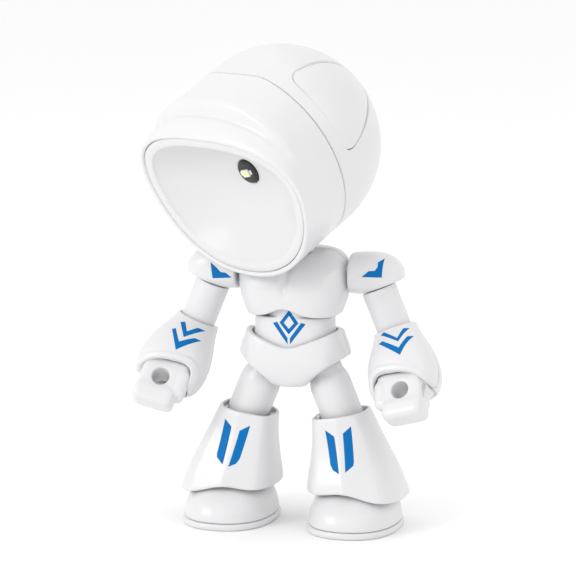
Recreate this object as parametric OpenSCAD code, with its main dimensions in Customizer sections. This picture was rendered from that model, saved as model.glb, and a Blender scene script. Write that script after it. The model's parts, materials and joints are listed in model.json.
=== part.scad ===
// Standing humanoid robot desk lamp: a helmet head that holds the lamp, on a jointed toy body.
// Millimetres, +Z up, the robot faces -Y and its left hand is on the +X side.

/* [Head] */
// Radius of the round back of the helmet
dome_r = 34; // [32:0.5:35]
// Half width of the lamp opening
face_half_w = 41; // [38:0.5:42]
// Height of the lamp opening above the middle of the dome
face_top = 26; // [24:0.5:28]
// Depth of the lamp opening below the middle of the dome
face_bottom = 31.5; // [30:0.5:32]
// Distance from the middle of the dome to the lamp opening
face_reach = 33; // [31:0.5:35]
// Head turned towards the robot's right, degrees
head_pan = 30; // [20:1:35]
// Head tipped down, degrees
head_tilt = 27; // [20:1:28]

/* [Body] */
// Height of the neck hinge above the floor
neck_z = 103.5; // [103:0.1:104]
// Height of the shoulder axle above the floor
shoulder_z = 87; // [86:0.5:88]
// Height of the hip pivots above the floor
hip_z = 55; // [54:0.5:56]
// Distance of each hip pivot from the middle
hip_x = 9.9; // [9.5:0.1:10.5]

/* [Arms] */
// Distance of the upper arm's axis from the middle at the shoulder
arm_x = 27.4; // [27:0.1:28]
// Upper arm held out from the body, degrees
arm_splay = 22.5; // [18:0.5:26]
// Shoulder axle to elbow pin
upper_arm_l = 21.6; // [21:0.1:23]
// Elbow bent forward, degrees
elbow_bend = 36; // [30:1:40]
// Elbow pin to wrist pin
forearm_l = 20.5; // [20:0.1:21]
// Radius of the hole that each hand grips with
grip_r = 3; // [2.5:0.1:3.2]

/* [Legs] */
// Thigh held out from the body, degrees
leg_splay = 22; // [18:0.5:24]
// Hip pivot to knee pin
thigh_l = 20; // [19:0.5:21]
// Boot leaning out, degrees
boot_lean = 10.5; // [8:0.5:12]
// Knee pin to ankle pivot
shin_l = 26; // [25:0.5:27]
// Half width of the foot
foot_half_w = 16; // [15:0.5:17]
// Half length of the foot
foot_half_l = 21.5; // [20:0.5:22.5]

/* [Hidden] */

// Offset that brings the middle of the whole object's box over the origin
stance = [0.126, 13.42, 0];
wall = 1.6;
// Free space between pieces that move on each other
gap = 0.35;
// Free space around a turning pin
pin_gap = 0.08;
big = 100;
head_sides = 40;
sides = 32;
white = "whitesmoke";
inner_white = "gainsboro";
dark = "#303030";
steel = "silver";

// Place of the middle of the dome, seen from the neck hinge
dome_y = 6.5;
dome_z = 27.8;
// The two shells of the helmet meet here
seam_y = -4;
lamp_y = -16.5;
lamp_z = 1;
lamp_hole_r = 4.4;
bowl_t = 1.4;
yoke_t = 1.6;
rim_w = 3.2;
neck_r = 7;
neck_stem_r = 5.4;
chest_low = 73;
chest_top = 94;
abdomen_top = 72.4;
waist_boss_r = 8.6;
arm_r = 6;
elbow_socket_r = 6.35;
elbow_rim = 2.6;
wrist_r = 5.8;
thigh_r = 7.2;
hip_ball_r = 6.1;
hip_rim = 2.3;
boot_rim = 4.2;
boot_hem = -23.4;
// The ankle is as high as the leg leaves it, so that the sole is on the floor
ankle_z = hip_z - thigh_l * cos(leg_splay) - shin_l * cos(boot_lean);
pin_r = 1.2;
// Hole that a pressed-in pin sits in
pressed_r = pin_r + 0.02;
cross_r = 1.5;
thread_r = 0.8;

// ---- shapes that repeat ----

// One coordinate of a superellipse: exponent 2 is a circle, more is squarer
function squared(t, e) = sign(t) * pow(abs(t), 2 / e);

// An outline with its own half width, depth below and height above its middle
function outline(a, low, high, e, n) = [
    for (i = [0 : n - 1])
        let (t = 360 * (i + 0.5) / n)
        [a * squared(cos(t), e), (sin(t) < 0 ? low : high) * squared(sin(t), e)]
];

// Outlines [z, a, front, rear, e, x, y] stacked up the Z axis; front is towards -Y
function stack_up(rows) = [
    for (r = rows) [for (p = outline(r[1], r[2], r[3], r[4], sides)) [p.x + r[5], p.y + r[6], r[0]]]
];

// A solid through a list of outlines with the same number of points, in rising order
module loft(rings) {
    n = len(rings[0]);
    m = len(rings);
    points = [for (r = rings) each r];
    skin = [
        for (j = [0 : m - 2], i = [0 : n - 1])
            [j * n + i, (j + 1) * n + i, (j + 1) * n + (i + 1) % n, j * n + (i + 1) % n]
    ];
    first = [for (i = [0 : n - 1]) i];
    last = [for (i = [n - 1 : -1 : 0]) (m - 1) * n + i];
    polyhedron(points, concat(skin, [first, last]), convexity = 6);
}

module stack(rows) loft(stack_up(rows));

// A cylinder along X, from x0 to x1
module bar_x(r, x0, x1) {
    translate([x0, 0, 0]) rotate([0, 90, 0]) cylinder(r = r, h = x1 - x0, $fn = 48);
}

// A cylinder along Y, from y0 to y1
module bar_y(r, y0, y1) {
    translate([0, y0, 0]) rotate([-90, 0, 0]) cylinder(r = r, h = y1 - y0, $fn = 48);
}

// A box given by its two corners
module block(low, high) {
    translate(low) cube(high - low);
}

// The half of space in front of the XZ plane, or behind it
module front_half() block([-big, -big, -big], [big, -0.02, big]);
module rear_half() block([-big, 0.02, -big], [big, big, big]);

// A pan-head screw along +Y whose head's outer face is at the origin
module screw_y(shank = 6) {
    difference() {
        bar_y(1.6, 0, 1.2);
        block([-1.2, -1, -0.25], [1.2, 0.5, 0.25]);
        block([-0.25, -1, -1.2], [0.25, 0.5, 1.2]);
    }
    bar_y(0.8, 1.2, shank);
}

// ---- where each moving body is at rest ----

module mirrored(side) {
    translate(stance) mirror([side < 0 ? 1 : 0, 0, 0]) children();
}

module at_head() {
    translate(stance) translate([0, 0, neck_z]) rotate([0, 0, -head_pan])
        rotate([head_tilt, 0, 0]) translate([0, dome_y, dome_z]) children();
}

module at_shoulder(side) {
    mirrored(side) translate([0, 0, shoulder_z]) children();
}

module at_upper_arm(side) {
    at_shoulder(side) translate([arm_x, 0, 0]) rotate([0, -arm_splay, 0]) children();
}

module at_forearm(side) {
    at_upper_arm(side) translate([0, 0, -upper_arm_l]) rotate([-elbow_bend, 0, 0]) children();
}

module at_hand(side) {
    at_forearm(side) translate([0, 0, -forearm_l]) children();
}

module at_hip(side) {
    mirrored(side) translate([hip_x, 0, hip_z]) children();
}

module at_thigh(side) {
    at_hip(side) rotate([0, -leg_splay, 0]) children();
}

module at_boot(side) {
    at_thigh(side) translate([0, 0, -thigh_l]) rotate([0, leg_splay - boot_lean, 0]) children();
}

module at_foot(side) {
    at_boot(side) translate([0, 0, -shin_l]) rotate([0, boot_lean, 0]) translate([0, -2, -ankle_z])
        children();
}

// ---- head ----

// The helmet's outline at a distance y from the middle of the dome, drawn in by inset all round
function helmet_ring(y, inset = 0) =
    let (
        r = dome_r - inset,
        s = max(0, min(1, (seam_y - y) / (face_reach + seam_y))),
        k = s * s * (3 - 2 * s),
        round_r = sqrt(max(0.25, r * r - pow(max(y, 0), 2))),
        a = round_r + (face_half_w - dome_r) * pow(s, 1.2),
        high = round_r + (face_top - dome_r) * k,
        low = round_r + (face_bottom - dome_r) * k
    )
    [for (p = outline(a, low, high, 2 + 0.25 * k, head_sides))
        [p.x * (1 + 0.1 * k * min(0, p.y) / low), y, p.y]];

function dome_steps(inset) = [for (t = [90 : -10 : 10]) (dome_r - inset) * sin(t)];

module helmet_solid(inset, y_from, y_to) {
    rings = concat(
        y_to > 0 ? [for (y = dome_steps(inset)) helmet_ring(min(y, (dome_r - inset) * 0.9995), inset)] : [],
        [for (y = [min(y_to, 0) : -4 : y_from + 1]) helmet_ring(y, inset)],
        [helmet_ring(y_from, inset)]
    );
    loft(rings);
}

// Slot under the helmet that the neck swings in
module neck_slot() {
    half_w = neck_r + 0.7;
    front = -dome_y - 3.4;
    rear = -dome_y + 1.3;
    for (y = [front, rear]) translate([0, y, -dome_r - 12]) cylinder(r = half_w, h = 20, $fn = 64);
    block([-half_w, front, -dome_r - 12], [half_w, rear, -dome_r + 8]);
}

// A cylinder that points out of the back of the dome, a little upwards
module button_space(r, low, high) {
    rotate([-75, 0, 0]) translate([0, 0, low]) cylinder(r = r, h = high - low, $fn = 64);
}

// Leaf-shaped column that leaves the dome high on its side
module leaf(r) {
    rotate([0, 57, 21]) intersection_for(x = [-9, 9]) translate([x, 0, 0]) cylinder(r = r, h = 40, $fn = 64);
}

module both_sides() {
    children();
    mirror([1, 0, 0]) children();
}

module yoke_screw_places() {
    for (x = [-25, 25]) translate([x, 0, 0]) children();
}

module face_shell() {
    color(white) at_head() difference() {
        helmet_solid(0, -face_reach, seam_y);
        helmet_solid(wall, -face_reach - 1, seam_y + 1);
        neck_slot();
    }
}

module cranium_shell() {
    color(white) at_head() difference() {
        intersection() {
            helmet_solid(0, seam_y - 2, dome_r);
            block([-big, seam_y + 0.15, -big], [big, big, big]);
        }
        difference() {
            helmet_solid(wall, seam_y - 3, dome_r);
            // bosses for the yoke, and ledges for the driver board
            both_sides() block([22, yoke_t, -4], [big, yoke_t + 6, 4]);
            both_sides() block([7, 21.7, -6], [10, big, 6]);
        }
        yoke_screw_places() bar_y(thread_r, 0, 12);
        neck_slot();
        button_space(5.2, 20, 40);
        block([-4.9, 20, -16], [4.9, 40, -12]);
        difference() {
            both_sides() leaf(21);
            helmet_solid(0.8, seam_y - 3, dome_r);
        }
    }
}

module side_panels() {
    color(white) at_head() intersection() {
        difference() {
            helmet_solid(0.05, seam_y - 2, dome_r);
            helmet_solid(0.8, seam_y - 3, dome_r);
            block([-big, -big, -big], [big, seam_y + 0.4, big]);
        }
        both_sides() leaf(20.8);
    }
}

// The bowl from its rim (s = 0) to a circle of radius r around the lamp (s = 1), moved back by depth
function bowl_ring(s, depth, inset, r) =
    let (
        k = 1 - s,
        y = -face_reach + (face_reach + lamp_y) * (1 - k * k) + depth
    )
    [for (p = outline(face_half_w - inset, face_bottom - inset, face_top - inset, 2.25, head_sides))
        let (
            x = p.x * (1 + 0.1 * min(0, p.y) / face_bottom),
            angle = atan2(p.y, p.x)
        )
        [x * k + r * cos(angle) * s, y, p.y * k + (lamp_z + r * sin(angle)) * s]];

module reflector() {
    fit = wall + 0.5;
    color(white) at_head() difference() {
        loft(concat(
            [for (s = [1, 0.8, 0.6, 0.4, 0.2, 0]) bowl_ring(s, bowl_t, fit, lamp_hole_r + 3.6)],
            [bowl_ring(0, 0.3, fit, lamp_hole_r)]
        ));
        loft(concat(
            [for (s = [1, 0.85, 0.7, 0.55, 0.4, 0.25, 0.12, 0]) bowl_ring(s, 0, rim_w + wall, lamp_hole_r - 0.6)],
            [bowl_ring(0, -3, rim_w + wall, lamp_hole_r)]
        ));
        translate([0, lamp_y, lamp_z]) bar_y(lamp_hole_r, -3, 4);
    }
}

module led_board() {
    color(dark) at_head() translate([0, lamp_y, lamp_z]) bar_y(lamp_hole_r + 3, bowl_t, bowl_t + 1.2);
}

module led_chip() {
    color("khaki") at_head() translate([0, lamp_y, lamp_z]) block([-1.75, bowl_t - 0.8, -1.4], [1.75, bowl_t, 1.4]);
}

module battery_cell() {
    color("lightsteelblue") at_head() block([-15, yoke_t, -13], [15, yoke_t + 6, 16]);
}

module driver_board() {
    color("seagreen") at_head() block([-12, 20.5, -15.6], [12, 21.7, 14]);
}

module usb_socket() {
    color(steel) at_head() translate([0, 0, -14]) difference() {
        block([-4.6, 21.7, -1.6], [4.6, 29.6, 1.6]);
        block([-4.1, 23, -1.1], [4.1, 31, 1.1]);
    }
    color(dark) at_head() translate([0, 0, -14]) block([-3, 22.9, -0.35], [3, 28, 0.35]);
}

// Bracket inside the helmet that hangs on the neck pin and carries the battery
module neck_yoke() {
    color(inner_white) at_head() difference() {
        union() {
            both_sides() translate([9.7, -dome_y, -dome_z]) {
                bar_x(2.4, -1.1, 1.1);
                rotate([-45, 0, 0]) block([-1.1, -2.4, 0], [1.1, 2.4, 9.6]);
            }
            block([-21, 0, -22], [21, yoke_t, 17]);
            block([-29, 0, -5], [29, yoke_t, 5]);
        }
        translate([0, -dome_y, -dome_z]) bar_x(pressed_r, -12, 12);
        yoke_screw_places() bar_y(thread_r + 0.1, -1, 3);
    }
}

module neck_pin() {
    color(steel) at_head() translate([0, -dome_y, -dome_z]) bar_x(pin_r, -11, 11);
}

module head_screws() {
    color(steel) at_head() yoke_screw_places() translate([0, -1.2, 0]) screw_y(6);
}

module power_button() {
    color(inner_white) at_head() difference() {
        union() {
            button_space(4.85, 29, 34.9);
            button_space(6.2, 29.9, 31.4);
        }
        button_space(3.6, 28, 33.4);
    }
}

// ---- neck ----

module neck_post() {
    color(white) translate(stance) rotate([0, 0, -head_pan]) difference() {
        union() {
            translate([0, 0, chest_roof - 1.8]) cylinder(r = 6.8, h = 1.6, $fn = 64);
            translate([0, 0, chest_roof - 1]) cylinder(r = neck_stem_r, h = chest_top - chest_roof + 2, $fn = 64);
            translate([0, 0, chest_top + 0.3]) cylinder(r = neck_r, h = neck_z - chest_top - 0.3, $fn = 64);
            translate([0, 0, neck_z]) sphere(r = neck_r, $fn = 64);
        }
        translate([0, 0, neck_z]) bar_x(pin_r + pin_gap, -12, 12);
        translate([0, 0, neck_z - 14]) cylinder(r = 2.4, h = 11, $fn = 48);
    }
}

// ---- chest ----

// [z, half width, front, rear, exponent, x, y] from the waist to the neck
chest_rows = [
    [chest_low, 15.8, 11.6, 10.8, 3, 0, 0],
    [75, 16.8, 12.4, 11.4, 3, 0, 0],
    [79, 18.4, 13.4, 12.2, 3.2, 0, 0],
    [84, 19, 13.6, 12.6, 3.4, 0, 0],
    [88, 18.8, 12.2, 12.4, 3, 0, 0],
    [91, 17.4, 9.6, 11, 2.3, 0, 0],
    [92.7, 14.2, 7.2, 9.5, 2, 0, 0],
    [chest_top, 10.5, 6.2, 8, 2, 0, 0]
];
// Underside of the wall that the neck turns in
chest_roof = 91.2;
chest_floor = 80.6;
axle_r = 3;
spindle_r = 3;

function drawn_in(rows, by) = [
    for (r = rows) [r[0], r[1] - by, r[2] - by, r[3] - by, r[4], r[5], r[6]]
];

module chest_solid() {
    difference() {
        stack(chest_rows);
        difference() {
            stack(concat(
                [[chest_low - 1, 15.8 - wall, 11.6 - wall, 10.8 - wall, 3, 0, 0]],
                [for (i = [0 : 6]) drawn_in(chest_rows, wall)[i]]
            ));
            block([-big, -big, chest_roof], [big, big, big]);
            // seats of the shoulder axles, and the floor that rests on the waist
            both_sides() block([13, -5, shoulder_z - 5], [big, 5, shoulder_z + 5]);
            block([-big, -big, chest_floor], [big, big, chest_floor + 1.6]);
            chest_screw_places() bar_y(2.2, -big, big);
        }
        // arch over the front of the waist
        translate([0, 0, chest_low - 10.3]) bar_y(12.3, -20, -5);
        translate([0, 0, chest_roof - 2]) cylinder(r = neck_stem_r + pin_gap, h = 8, $fn = 64);
        translate([0, 0, chest_floor - 1]) cylinder(r = spindle_r + pin_gap, h = 4, $fn = 48);
        both_sides() translate([0, 0, shoulder_z]) bar_x(axle_r + pin_gap, 12, 25);
        chest_screw_places() bar_y(thread_r, -6, big);
    }
}

module chest_screw_places() {
    for (x = [-9, 9]) translate([x, 0, shoulder_z + 0.4]) children();
}

module chest_front() {
    color(white) translate(stance) intersection() {
        chest_solid();
        front_half();
    }
}

module chest_rear() {
    color(white) translate(stance) difference() {
        intersection() {
            chest_solid();
            rear_half();
        }
        chest_screw_places() bar_y(1.75, 10.4, big);
        chest_screw_places() bar_y(thread_r + 0.1, -1, big);
    }
}

module chest_screws() {
    color(steel) translate(stance) chest_screw_places() translate([0, 11.6, 0]) rotate([0, 0, 180]) screw_y(16);
}

// ---- waist and pelvis ----

module abdomen() {
    color(white) translate(stance) difference() {
        union() {
            stack([
                [58.2, 14.6, 9.4, 9, 2.6, 0, 0],
                [62, 15, 10.2, 9.6, 2.6, 0, 0],
                [68, 15, 10.4, 9.8, 2.6, 0, 0],
                [abdomen_top - 0.8, 14.9, 10.3, 9.7, 2.6, 0, 0],
                [abdomen_top, 14.2, 9.8, 9.2, 2.6, 0, 0]
            ]);
            translate([0, 0, abdomen_top - 1]) cylinder(r = waist_boss_r, h = chest_floor - 0.15 - abdomen_top + 1, $fn = 96);
            translate([0, 0, chest_floor - 1]) cylinder(r = spindle_r, h = 2.8, $fn = 48);
        }
        translate([0, 0, chest_floor - 6]) cylinder(r = thread_r, h = 12, $fn = 24);
        both_sides() translate([hip_x, 0, hip_z]) sphere(r = hip_ball_r + 0.5, $fn = 64);
        pelvis_screw_place() rotate([0, 0, 180]) bar_y(thread_r, -2, 8);
    }
}

// Screw with a wide head that keeps the chest on the waist
module waist_retainer() {
    color(steel) translate(stance) translate([0, 0, chest_floor]) {
        difference() {
            translate([0, 0, 1.8]) cylinder(r = 4.8, h = 1.4, $fn = 48);
            block([-3, -0.35, 2.6], [3, 0.35, 4]);
        }
        translate([0, 0, -4]) cylinder(r = thread_r, h = 6, $fn = 24);
    }
}

// The plane that each leg opening is cut to is square to the thigh
module leg_opening() {
    both_sides() translate([hip_x, 0, hip_z]) rotate([0, -leg_splay, 0])
        block([-12.5, -big, -big], [big, big, -hip_rim]);
}

module pelvis_screw_place() {
    translate([0, 11.4, 62]) children();
}

module pelvis_solid() {
    difference() {
        stack([
            [47.4, 5, 9, 8, 2.2, 0, 0],
            [50, 11, 10.6, 9.6, 2.4, 0, 0],
            [54, 17.8, 12, 11.2, 2.8, 0, 0],
            [58, 19.3, 12.6, 12, 3, 0, 0],
            [62, 18.4, 12.4, 11.8, 3, 0, 0],
            [65, 17.2, 12, 11.2, 3, 0, 0],
            [66.8, 16.6, 11.7, 10.9, 3, 0, 0]
        ]);
        difference() {
            stack([
                [45, 16, 11.6, 10.4, 2.8, 0, 0],
                [52, 17, 11.2, 10.4, 2.8, 0, 0],
                [58, 17.7, 11.1, 10.4, 3, 0, 0],
                [68, 15.4, 10.7, 10.1, 2.7, 0, 0]
            ]);
            // rib down the middle, which carries the hip joints
            block([-2.6, -big, 40], [2.6, big, 58]);
        }
        leg_opening();
        // V notch at the front of the waistband
        translate([0, -20, 77.3]) rotate([0, 45, 0]) block([-10, 0, -10], [10, 15, 10]);
        translate([0, 0, hip_z]) bar_x(2 + pin_gap, -8, 8);
    }
}

module pelvis_front() {
    color(white) translate(stance) intersection() {
        pelvis_solid();
        front_half();
    }
}

module pelvis_rear() {
    color(white) translate(stance) difference() {
        intersection() {
            pelvis_solid();
            rear_half();
        }
        pelvis_screw_place() bar_y(thread_r + 0.1, -4, 4);
        pelvis_screw_place() bar_y(1.75, -0.8, 4);
    }
}

module pelvis_screws() {
    color(steel) translate(stance) pelvis_screw_place() translate([0, 0.4, 0]) rotate([0, 0, 180]) screw_y(5);
}

// ---- arms ----

// A hood whose outline is round next to the chest and droops at its outer end
module shoulder_cap(side) {
    color(white) at_shoulder(side) difference() {
        rotate([0, 90, 0]) rotate([0, 0, 90]) stack([
            [19.5, 5.7, 5.7, 5.7, 2, 0, 0],
            [20.4, 6.6, 6.5, 6.5, 2, 0, 0],
            [23, 7.2, 6.7, 7.1, 2.2, 0, 0],
            [28, 7.4, 6.2, 7.4, 2.4, 0, 0],
            [32, 7.2, 5.6, 7, 2.4, 0, 0],
            [35.5, 6.2, 4.6, 5.6, 2.2, 0, 0],
            [37.6, 4, 3, 3.2, 2, 0, 0],
            [38, 2, 1.6, 1.6, 2, 0, 0]
        ]);
        bar_x(1.6, 19, 23.4);
        translate([arm_x, 0, 0]) rotate([0, -arm_splay, 0]) {
            block([-20, -20, -30], [20, 20, -5.2]);
            translate([0, 0, -6]) cylinder(r = 2.5 + pin_gap, h = 6.6, $fn = 48);
            translate([0, 0, 0.4]) cylinder(r = 3.5, h = 2.3, $fn = 48);
        }
    }
}

module shoulder_axle(side) {
    color(steel) at_shoulder(side) {
        bar_x(axle_r, 12.6, 19.5);
        bar_x(4, 11.5, 12.8);
        bar_x(1.6, 19.4, 23);
    }
}

module upper_arm(side) {
    color(white) at_upper_arm(side) difference() {
        union() {
            translate([0, 0, -upper_arm_l]) cylinder(r = arm_r, h = upper_arm_l - 5.2 - gap, $fn = 64);
            translate([0, 0, -upper_arm_l]) sphere(r = arm_r, $fn = 64);
            translate([0, 0, -6]) cylinder(r = 2.5, h = 7, $fn = 48);
            translate([0, 0, 0.6]) cylinder(r = 3.2, h = 1.7, $fn = 48);
        }
        translate([0, 0, -upper_arm_l]) bar_x(pin_r + pin_gap, -8, 8);
    }
}

module forearm_solid() {
    difference() {
        stack([
            [-24.4, 9.9, 7.8, 8, 2.6, 0, 0],
            [-22.5, 11.2, 9, 9.2, 2.6, 0, 0],
            [-19, 12, 10.4, 10.4, 2.5, 0, 0],
            [-15.5, 12.2, 11, 10.8, 2.4, 0, 0],
            [-12, 11.7, 10.8, 10.4, 2.3, 0, 0],
            [-8, 10.5, 9.9, 9.6, 2.2, 0, 0],
            [-4, 9.1, 8.8, 8.6, 2.1, 0, 0],
            [-1.5, 8.2, 8.2, 8, 2, 0, 0],
            [elbow_rim, 7.6, 7.8, 7.3, 2, 0, 0]
        ]);
        // space inside the two halves
        stack([
            [-13.4, 10.2, 8.8, 8.8, 2.3, 0, 0],
            [-8, 8.9, 8.2, 8, 2.2, 0, 0],
            [-7.4, 8.6, 8, 7.8, 2.2, 0, 0]
        ]);
        // socket of the elbow, as wide as the arm bends
        hull() {
            sphere(r = elbow_socket_r, $fn = 32);
            for (angle = [8, 48]) rotate([angle, 0, 0]) cylinder(r = elbow_socket_r - 0.05, h = 14, $fn = 32);
        }
        // fork for the hand, open at the front
        translate([0, 0, -forearm_l]) {
            bar_x(wrist_r + gap, -8.6, 8.6);
            block([-8.6, -20, -20], [8.6, 5.6, 2.4]);
            bar_x(pressed_r, -10.5, 10.5);
        }
        bar_x(pressed_r, -7.2, 7.2);
    }
}

module forearm_front(side) {
    color(white) at_forearm(side) intersection() {
        forearm_solid();
        front_half();
    }
}

module forearm_rear(side) {
    color(white) at_forearm(side) intersection() {
        forearm_solid();
        rear_half();
    }
}

module elbow_pin(side) {
    color(steel) at_forearm(side) bar_x(pin_r, -7.1, 7.1);
}

module wrist_pin(side) {
    color(steel) at_hand(side) bar_x(pin_r, -10.4, 10.4);
}

// A closed fist with a hole right through it
module hand(side) {
    color(white) at_hand(side) difference() {
        union() {
            bar_x(wrist_r, -8.2, 8.2);
            stack([
                [-11, 7.6, 6.6, 5, 4, 0, -1],
                [-9.4, 8, 7, 5.2, 4, 0, -1],
                [-3, 8.2, 7, 5.2, 4, 0, -0.8],
                [-0.8, 8.2, 6, 5, 4, 0, -0.4]
            ]);
            stack([
                [-18, 5.8, 5.4, 4.4, 3.4, 0.6, -1.4],
                [-17.2, 6.6, 6.6, 5.2, 3.6, 0.6, -1.4],
                [-12, 6.9, 7.6, 5.6, 4, 0.6, -1.4],
                [-10, 6.9, 6.6, 5, 4, 0.6, -1.4]
            ]);
        }
        translate([0, 0, -6.2]) bar_y(grip_r, -20, 20);
        bar_x(pin_r + pin_gap, -12, 12);
    }
}

// ---- legs ----

// Cross-shaped joint: turns in the pelvis about X, and the thigh turns on it about Y
module hip_link(side) {
    color(inner_white) at_hip(side) {
        bar_x(2, 0.2 - hip_x, 0);
        bar_y(cross_r, -5, 5);
        sphere(r = 3.2, $fn = 48);
    }
}

module thigh_solid() {
    difference() {
        union() {
            sphere(r = hip_ball_r, $fn = 64);
            translate([0, 0, -3]) cylinder(r = hip_ball_r, h = 3, $fn = 64);
            translate([0, 0, -5]) cylinder(r1 = thigh_r, r2 = hip_ball_r, h = 2.2, $fn = 64);
            translate([0, 0, -thigh_l]) cylinder(r = thigh_r, h = thigh_l - 5, $fn = 64);
            translate([0, 0, -thigh_l]) sphere(r = thigh_r, $fn = 64);
        }
        sphere(r = 3.5, $fn = 48);
        bar_y(cross_r + pin_gap, -5.2, 5.2);
        rotate([0, leg_splay, 0]) block([-12, -2.35, -3.1], [0, 2.35, 3.1]);
        translate([0, 0, -thigh_l]) rotate([0, leg_splay - boot_lean, 0]) bar_x(pin_r + pin_gap, -9, 9);
    }
}

module thigh_front(side) {
    color(white) at_thigh(side) intersection() {
        thigh_solid();
        front_half();
    }
}

module thigh_rear(side) {
    color(white) at_thigh(side) intersection() {
        thigh_solid();
        rear_half();
    }
}

module knee_pin(side) {
    color(steel) at_boot(side) bar_x(pin_r, -9.4, 9.4);
}

// A flared shell with bosses for the knee pin and a bridge that the ankle hangs from
module boot(side) {
    color(white) at_boot(side) difference() {
        stack([
            [boot_hem, 16.9, 18.4, 15.6, 2.5, 0, 0],
            [-19.4, 16, 17.4, 14.8, 2.5, 0, 0],
            [-12, 13.4, 14, 12.6, 2.5, 0, 0],
            [-4, 11.2, 11.6, 10.9, 2.5, -0.2, 0],
            [boot_rim, 9.8, 10.4, 10.1, 2.4, -0.7, 0]
        ]);
        difference() {
            stack([
                [boot_hem - 1, 15.4, 16.9, 14.1, 2.5, 0, 0],
                [-19.4, 14.3, 15.7, 13.1, 2.5, 0, 0],
                [-12, 11.7, 12.3, 10.9, 2.5, 0, 0],
                [-4, 9.7, 10.2, 9.5, 2.4, -0.2, 0],
                [boot_rim + 1, 8.5, 9.3, 9, 2.4, -0.7, 0]
            ]);
            both_sides() bar_x(2.4, 8.2, 12);
            block([-big, -4, -17], [big, 4, -14.6]);
            both_sides() block([4.6, -2.4, -shin_l - 2.4], [6.6, 2.4, -15]);
        }
        bar_x(pressed_r, -9.5, 9.5);
        translate([0, 0, -shin_l]) bar_x(cross_r + pin_gap, -8, 8);
    }
}

// Cross-shaped joint: turns in the boot about X, and the foot turns on it about Y
module ankle_link(side) {
    color(inner_white) at_boot(side) translate([0, 0, -shin_l]) {
        bar_x(cross_r, -6.6, 6.6);
        block([-2.2, -2.2, -2.2], [2.2, 2.2, 2.2]);
        bar_y(cross_r, -6.6, 6.6);
    }
}

module foot_upper(side) {
    color(white) at_foot(side) difference() {
        stack([
            [2.8, foot_half_w - 0.3, foot_half_l - 0.3, foot_half_l - 1.7, 2.3, 0, 0],
            [5, foot_half_w - 0.9, foot_half_l - 0.8, foot_half_l - 2.2, 2.3, 0, 0],
            [9, 14.2, 18.2, 17.4, 2.3, 0, 0],
            [12, 12.2, 14.2, 15.2, 2.2, 0, 0],
            [14, 10.6, 11, 13, 2.1, 0, 0]
        ]);
        difference() {
            stack([
                [4.6, 13.4, 18.8, 17.4, 2.3, 0, 0],
                [9, 12.4, 16.4, 15.6, 2.3, 0, 0],
                [12, 10.4, 12.4, 13.4, 2.2, 0, 0],
                [15, 8.8, 8.8, 11, 2.1, 0, 0]
            ]);
            // ears for the ankle joint
            for (y = [2 - 5.6, 2 + 5.6]) translate([0, y, 0]) {
                block([-2.4, -1, 3], [2.4, 1, ankle_z]);
                translate([0, 0, ankle_z]) bar_y(2.4, -1, 1);
            }
        }
        translate([0, 2, ankle_z]) bar_y(cross_r + pin_gap, -8, 8);
    }
}

module foot_sole(side) {
    color(white) at_foot(side) stack([
        [0, foot_half_w - 0.6, foot_half_l - 0.6, foot_half_l - 2, 2.3, 0, 0],
        [0.8, foot_half_w, foot_half_l, foot_half_l - 1.4, 2.3, 0, 0],
        [2.5, foot_half_w, foot_half_l, foot_half_l - 1.4, 2.3, 0, 0],
        [2.8, foot_half_w - 0.3, foot_half_l - 0.3, foot_half_l - 1.7, 2.3, 0, 0]
    ]);
}

// ---- what is drawn ----

pelvis_front();
pelvis_rear();
pelvis_screws();
abdomen();
waist_retainer();
chest_front();
chest_rear();
chest_screws();
neck_post();
face_shell();
cranium_shell();
side_panels();
reflector();
led_board();
led_chip();
battery_cell();
driver_board();
usb_socket();
neck_yoke();
neck_pin();
head_screws();
power_button();
for (s = [[1, "left_"], [-1, "right_"]]) {
    shoulder_cap(s[0]);
    shoulder_axle(s[0]);
    upper_arm(s[0]);
    forearm_front(s[0]);
    forearm_rear(s[0]);
    elbow_pin(s[0]);
    wrist_pin(s[0]);
    hand(s[0]);
    hip_link(s[0]);
    thigh_front(s[0]);
    thigh_rear(s[0]);
    knee_pin(s[0]);
    boot(s[0]);
    ankle_link(s[0]);
    foot_upper(s[0]);
    foot_sole(s[0]);
}
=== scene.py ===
"""Robot figure lamp: smooth moulded shells, decals and the lamp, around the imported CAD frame."""

import json
import math

import bmesh
import bpy
import numpy as np
from mathutils import Matrix, Vector
from mathutils.bvhtree import BVHTree


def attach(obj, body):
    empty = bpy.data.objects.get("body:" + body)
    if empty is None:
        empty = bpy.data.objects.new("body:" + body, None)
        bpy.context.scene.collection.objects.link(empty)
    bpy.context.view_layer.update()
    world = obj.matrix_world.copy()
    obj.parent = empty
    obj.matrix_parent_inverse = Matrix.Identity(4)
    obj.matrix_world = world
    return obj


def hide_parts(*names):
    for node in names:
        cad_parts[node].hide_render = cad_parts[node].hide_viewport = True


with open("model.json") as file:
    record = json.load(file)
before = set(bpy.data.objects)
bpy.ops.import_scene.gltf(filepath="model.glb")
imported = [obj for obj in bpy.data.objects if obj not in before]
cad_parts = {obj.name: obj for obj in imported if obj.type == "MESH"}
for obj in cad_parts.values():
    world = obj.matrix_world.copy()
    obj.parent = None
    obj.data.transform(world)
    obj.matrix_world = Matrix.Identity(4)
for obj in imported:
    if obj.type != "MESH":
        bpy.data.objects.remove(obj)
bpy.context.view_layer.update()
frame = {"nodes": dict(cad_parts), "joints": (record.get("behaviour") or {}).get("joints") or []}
MM = 0.001
STEP = 0.42  # grid of the moulded skins, in mm
FINE_STEP = 0.09  # grid of the parts of the LED

# ---- places, all taken from the joints of the frame ----

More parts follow.
